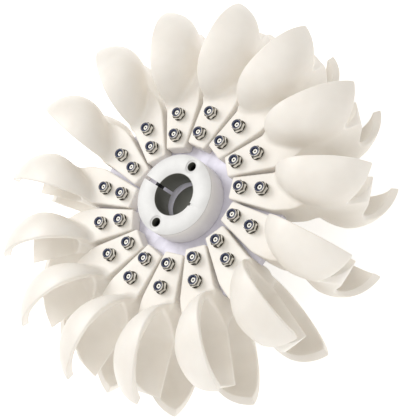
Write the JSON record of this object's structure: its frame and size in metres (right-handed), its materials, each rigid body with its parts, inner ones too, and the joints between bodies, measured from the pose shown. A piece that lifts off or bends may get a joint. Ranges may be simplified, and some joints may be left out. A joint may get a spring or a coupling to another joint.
{
  "type": "pelton turbine runner",
  "caption": "Pelton runner of a small hydro generator: moulded double-cup buckets bolted in pairs of screws round a disc, with clamping hub bosses.",
  "frame": {"origin": "on the runner's axis, in the middle plane of the disc, which is the plane of the bucket splitters", "axes": "+Z along the runner's axis, towards the side where the lock nuts are; +X through the outer bolt of bucket_01. Seen from +Z the bucket mouths face anticlockwise."},
  "size_m": [0.3576, 0.3581, 0.103],
  "materials": {
    "bucket_nylon": "satin moulded",
    "disc_aluminium": "pale satin anodised",
    "hub_aluminium": "turned",
    "black_steel": "black oxide",
    "stainless_fasteners": "bright stainless",
    "nylon_locking_ring": "dark blue moulded"
  },
  "bodies": {
    "root": {"bucket_01": "bucket_nylon", "bucket_02": "bucket_nylon", "bucket_03": "bucket_nylon", "bucket_04": "bucket_nylon", "bucket_05": "bucket_nylon", "bucket_06": "bucket_nylon", "bucket_07": "bucket_nylon", "bucket_08": "bucket_nylon", "bucket_09": "bucket_nylon", "bucket_10": "bucket_nylon", "bucket_11": "bucket_nylon", "bucket_12": "bucket_nylon", "bucket_13": "bucket_nylon", "bucket_14": "bucket_nylon", "bucket_15": "bucket_nylon", "runner_disc": "disc_aluminium", "hub_front": "hub_aluminium", "hub_rear": "hub_aluminium", "hub_screw_1": "black_steel", "hub_screw_2": "black_steel"}
  },
  "joints": []
}
